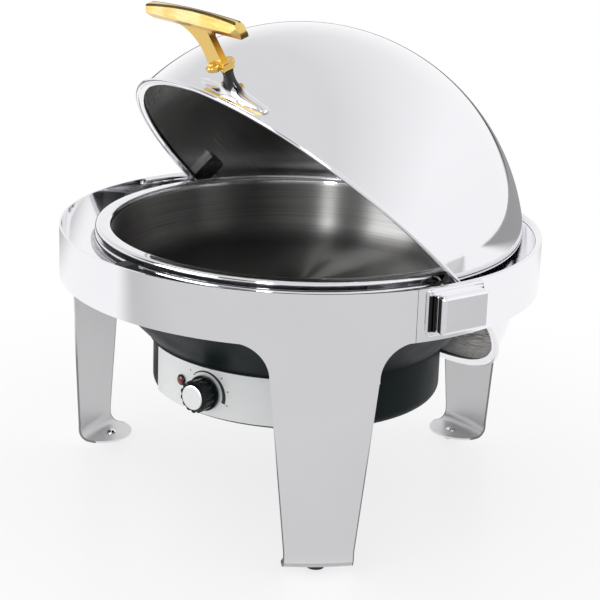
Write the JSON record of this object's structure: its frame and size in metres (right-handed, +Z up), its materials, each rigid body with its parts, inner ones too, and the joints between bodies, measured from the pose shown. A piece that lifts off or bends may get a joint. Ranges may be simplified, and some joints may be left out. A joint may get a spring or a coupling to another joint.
{
  "type": "electric chafing dish",
  "caption": "Round electric chafing dish: steel ring frame on sheet legs, heated water pan, lift-out food pan and domed lid that rolls back on side pivots.",
  "frame": {"origin": "on the floor, under the middle of the ring frame", "axes": "+Z up, -Y towards the front (the side that the lid opens from), +X to the right seen from the front; the lid's pivot axis is parallel to X"},
  "size_m": [0.512, 0.48, 0.5009],
  "materials": {
    "mirror_steel": "mirror polished stainless steel",
    "satin_steel": "satin stainless steel",
    "pan_steel": "brushed stainless steel",
    "gold_finish": "polished gold-coloured plate",
    "black_rubber": "matt rubber",
    "black_housing": "satin black moulding",
    "black_knob": "gloss black moulding",
    "silver_panel": "satin silver plate",
    "red_lens": "translucent dark red",
    "cast_aluminium": "as cast",
    "ivory_plastic": "moulded heat-resistant plastic"
  },
  "bodies": {
    "frame": {"front_frame": "mirror_steel", "rear_frame": "mirror_steel", "joining_plate_left": "satin_steel", "joining_plate_right": "satin_steel", "foot_pad_left": "black_rubber", "foot_pad_right": "black_rubber", "foot_pad_rear": "black_rubber", "foot_screws": "mirror_steel", "pivot_base_left": "mirror_steel", "pivot_base_right": "mirror_steel", "pivot_cover_left": "mirror_steel", "pivot_cover_right": "mirror_steel", "pivot_pin_left": "satin_steel", "pivot_pin_right": "satin_steel", "pivot_nuts": "satin_steel", "pivot_spacers": "satin_steel", "friction_washers": "satin_steel", "pan_cradle": "satin_steel", "lid_buffer": "black_rubber"},
    "lid": {"lid_shell": "mirror_steel", "hinge_bracket_left": "satin_steel", "hinge_bracket_right": "satin_steel", "bracket_studs": "satin_steel", "handle_pedestal": "mirror_steel", "handle_grip": "gold_finish", "grip_stud": "satin_steel", "handle_screws": "satin_steel"},
    "food_pan": {"food_pan": "pan_steel"},
    "heater_unit": {"water_pan": "pan_steel", "housing": "black_housing", "base_cover": "black_housing", "cover_screws": "satin_steel", "heating_plate": "cast_aluminium", "heating_element": "satin_steel", "thermal_cutout": "ivory_plastic", "thermostat": "ivory_plastic", "terminal_block": "ivory_plastic", "control_panel": "silver_panel", "lamp_bezel": "black_knob", "lamp_lens": "red_lens", "lamp_body": "ivory_plastic", "cord_gland": "black_housing"},
    "knob": {"control_knob": "black_knob", "knob_cap": "silver_panel", "thermostat_shaft": "satin_steel"}
  },
  "joints": [
    {"name": "lid_roll", "type": "hinge", "parent": "frame", "child": "lid", "pos_m": [0, 0, 0.25], "axis": [-1, 0, 0], "range_deg": [-45, 45]},
    {"name": "heater_unit_lift", "type": "slide", "parent": "frame", "child": "heater_unit", "axis": [0, 0, 1], "range_m": [0, 0.015]},
    {"name": "food_pan_lift", "type": "slide", "parent": "heater_unit", "child": "food_pan", "axis": [0, 0, 1], "range_m": [0, 0.028]},
    {"name": "knob_turn", "type": "hinge", "parent": "heater_unit", "child": "knob", "pos_m": [0.04811, -0.1526, 0.1335], "axis": [-0.3007, 0.9537, 0], "range_deg": [0, 270]}
  ]
}
